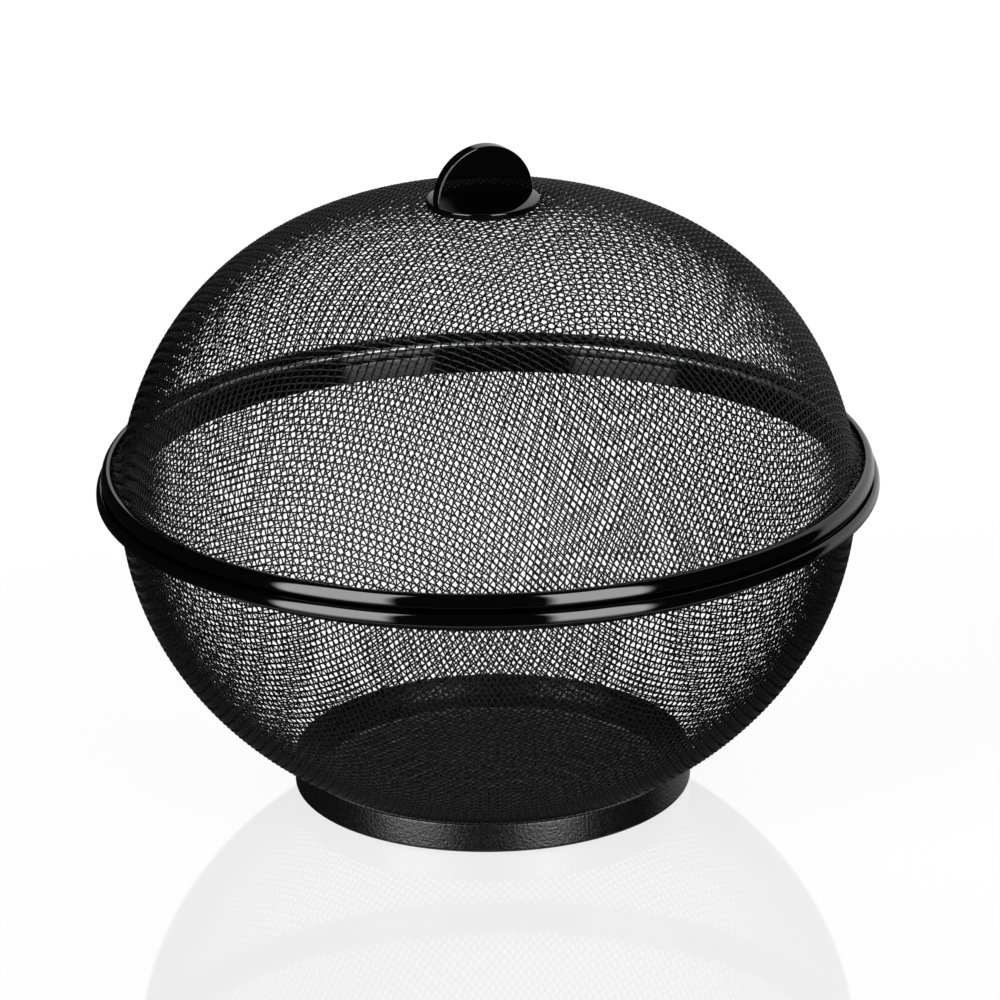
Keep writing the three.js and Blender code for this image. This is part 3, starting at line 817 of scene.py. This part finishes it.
LID_TOP_WIDTH = 3 * MM
LID_SHOULDER = 1.8 * MM
LID_DROP = 3.6 * MM
cover_middle = lid_rim_high.x - half_sheet
cover_top = lid_rim_high.z - half_sheet
cover_line = [Vector((cover_middle, lid_rim_low.z))]
cover_line += rolled_shoulder(cover_middle, cover_top, LID_SHOULDER, LID_DROP)
cover_line += [Vector((lid_rim_high.x - LID_TOP_WIDTH, cover_top))]
ring_piece("lid_rim_rolled", strip_outline(cover_line, RIM_SHEET), rim_enamel,
           "lid", "lid_rim")

# %% [markdown]
# The knob is one moulding: a round, slightly domed disc with half a disc standing across it as a grip.
# A moulding has no sharp edge anywhere, so the disc is turned from a section with round corners, the
# grip's edges are bevelled, and a boolean joins the two into one skin. A blind hole takes the screw.

# %% Knob
KNOB_DISC_EDGE = 2.3 * MM
KNOB_DISC_CROWN = 1.9 * MM
KNOB_CROWN_POWER = 2.0  # a crown of even roundness, so that it mirrors the room in small
KNOB_GRIP_RADIUS = 18.8 * MM
KNOB_GRIP = 4.8 * MM
KNOB_ROUNDING = 0.5 * MM
KNOB_HOLE_RADIUS = 1.8 * MM
KNOB_STEPS = 144  # flats around the disc
HOLE_STEPS = 32
GRIP_STEPS = 96  # flats along the grip's arc
screw_low, screw_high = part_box("knob_screw")


def blank(name, body_mesh):
    """An object from a finished bmesh."""
    mesh = bpy.data.meshes.new(name)
    body_mesh.to_mesh(mesh)
    body_mesh.free()
    piece = bpy.data.objects.new(name, mesh)
    bpy.context.scene.collection.objects.link(piece)
    return piece


def spun(name, section, steps):
    """Turns an open section, from the axis back to the axis, into a closed body."""
    body_mesh = bmesh.new()
    corners = [body_mesh.verts.new((point.x, 0, point.y)) for point in section]
    edges = [body_mesh.edges.new(pair) for pair in zip(corners, corners[1:])]
    bmesh.ops.spin(body_mesh, geom=corners + edges, cent=(0, 0, 0), axis=(0, 0, 1),
                   angle=2 * math.pi, steps=steps)
    bmesh.ops.remove_doubles(body_mesh, verts=body_mesh.verts, dist=0.001 * MM)
    bmesh.ops.recalc_face_normals(body_mesh, faces=body_mesh.faces)
    return blank(name, body_mesh)


def cut_with(piece, tool, operation):
    """Joins or cuts with a tool, keeps the result and throws the tool away."""
    change = piece.modifiers.new("change", "BOOLEAN")
    change.operation = operation
    change.solver = "EXACT"
    change.object = tool
    bpy.context.view_layer.update()
    result = bpy.data.meshes.new_from_object(piece.evaluated_get(bpy.context.evaluated_depsgraph_get()))
    piece.modifiers.clear()
    piece.data = result
    bpy.data.objects.remove(tool)


def smooth_but_crisp(piece, angle=35):
    """Smooth shading, except across edges sharper than the angle."""
    piece.data.polygons.foreach_set("use_smooth", np.ones(len(piece.data.polygons), bool))
    piece.data.set_sharp_from_angle(angle=math.radians(angle))
    even_shine(piece)


def knob_grip():
    """Half a disc on its edge, rounded all round, with its root sunk into the base disc."""
    root = knob_low.z + KNOB_DISC_EDGE / 2
    middle = knob_high.z - KNOB_GRIP_RADIUS
    arc = [math.pi * step / GRIP_STEPS for step in range(GRIP_STEPS + 1)]
    outline = [(KNOB_GRIP_RADIUS * math.cos(a), middle + KNOB_GRIP_RADIUS * math.sin(a)) for a in arc]
    outline = [(KNOB_GRIP_RADIUS, root)] + outline + [(-KNOB_GRIP_RADIUS, root)]
    body_mesh = bmesh.new()
    front = body_mesh.faces.new([body_mesh.verts.new((x, -KNOB_GRIP / 2, z)) for x, z in outline])
    pushed = bmesh.ops.extrude_face_region(body_mesh, geom=[front])
    back = [part for part in pushed["geom"] if isinstance(part, bmesh.types.BMVert)]
    bmesh.ops.translate(body_mesh, verts=back, vec=(0, KNOB_GRIP, 0))
    bmesh.ops.recalc_face_normals(body_mesh, faces=body_mesh.faces)
    sharp = [edge for edge in body_mesh.edges if edge.calc_face_angle() > math.radians(40)]
    bmesh.ops.bevel(body_mesh, geom=sharp, offset=KNOB_ROUNDING, segments=5, profile=0.5, affect="EDGES")
    return blank("grip_blank", body_mesh)


disc_top = knob_low.z + KNOB_DISC_EDGE + KNOB_DISC_CROWN
crown = [Vector((knob_high.x * share, disc_top - KNOB_DISC_CROWN * share ** KNOB_CROWN_POWER))
         for share in np.linspace(0.95, 0, 20).tolist()]
knob = spun("knob_moulded", bent_line([
    (0, knob_low.z), (knob_high.x, knob_low.z), (knob_high.x, disc_top - KNOB_DISC_CROWN), crown[0],
], KNOB_ROUNDING) + crown[1:], KNOB_STEPS)
cut_with(knob, knob_grip(), "UNION")
hole_top = screw_high.z + MM
hole_section = [Vector(spot) for spot in (
    (0, knob_low.z - MM), (KNOB_HOLE_RADIUS, knob_low.z - MM), (KNOB_HOLE_RADIUS, hole_top), (0, hole_top))]
cut_with(knob, spun("hole_tool", hole_section, HOLE_STEPS), "DIFFERENCE")
knob.data.materials.clear()
knob.data.materials.append(knob_plastic)
smooth_but_crisp(knob)
settle(knob, "lid", "knob")

# %% [markdown]
# A slotted pan-head screw comes up through a washer and the mesh into the knob. The head is turned,
# the slot is cut with a boolean, and the thread is a row of small ridges at the pitch of a real one.

# %% Screw and washer
SCREW_RADIUS = 1.5 * MM
THREAD_PITCH = 0.5 * MM
THREAD_DEPTH = 0.25 * MM
SLOT_WIDTH = 0.8 * MM
SLOT_DEPTH = 0.9 * MM
HEAD_HEIGHT = 1.9 * MM
HEAD_DOME = 0.15 * MM
HEAD_FACE_SHARE = 0.8  # of the head's radius
SCREW_BEND = 0.2 * MM
SCREW_STEPS = 48
washer_low, washer_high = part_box("knob_washer")
head_top = screw_low.z + HEAD_HEIGHT
head_radius = screw_high.x
screw_section = bent_line([
    (0, screw_low.z), (head_radius * HEAD_FACE_SHARE, screw_low.z + HEAD_DOME), (head_radius, head_top),
    (SCREW_RADIUS, head_top), (SCREW_RADIUS, washer_high.z),
], SCREW_BEND)
thread_z = washer_high.z
while thread_z < screw_high.z - 3 * THREAD_PITCH:
    screw_section.append(Vector((SCREW_RADIUS - THREAD_DEPTH, thread_z + THREAD_PITCH / 2)))
    screw_section.append(Vector((SCREW_RADIUS, thread_z + THREAD_PITCH)))
    thread_z += THREAD_PITCH
screw_section += [Vector((SCREW_RADIUS / 2, screw_high.z)), Vector((0, screw_high.z))]
knob_screw = spun("knob_screw_slotted", screw_section, SCREW_STEPS)
slot_tool = bmesh.new()
bmesh.ops.create_cube(slot_tool, size=1)
bmesh.ops.scale(slot_tool, verts=slot_tool.verts, vec=(4 * head_radius, SLOT_WIDTH, 2 * SLOT_DEPTH))
bmesh.ops.translate(slot_tool, verts=slot_tool.verts, vec=(0, 0, screw_low.z))
cut_with(knob_screw, blank("slot_tool", slot_tool), "DIFFERENCE")
knob_screw.data.materials.clear()
knob_screw.data.materials.append(fixing_steel)
smooth_but_crisp(knob_screw)
settle(knob_screw, "lid", "knob_screw")

washer_middle = (washer_low.z + washer_high.z) / 2
washer_line = [Vector((KNOB_HOLE_RADIUS, washer_middle)), Vector((washer_high.x, washer_middle))]
ring_piece("knob_washer_round", strip_outline(washer_line, washer_high.z - washer_low.z),
           fixing_steel, "lid", "knob_washer")

# %% [markdown]
# The last step prints the box of the imported parts.

# %% Size of the imported parts
print("packed box, mm:", [round(v / MM, 2) for v in (*cad_low, *cad_high)])
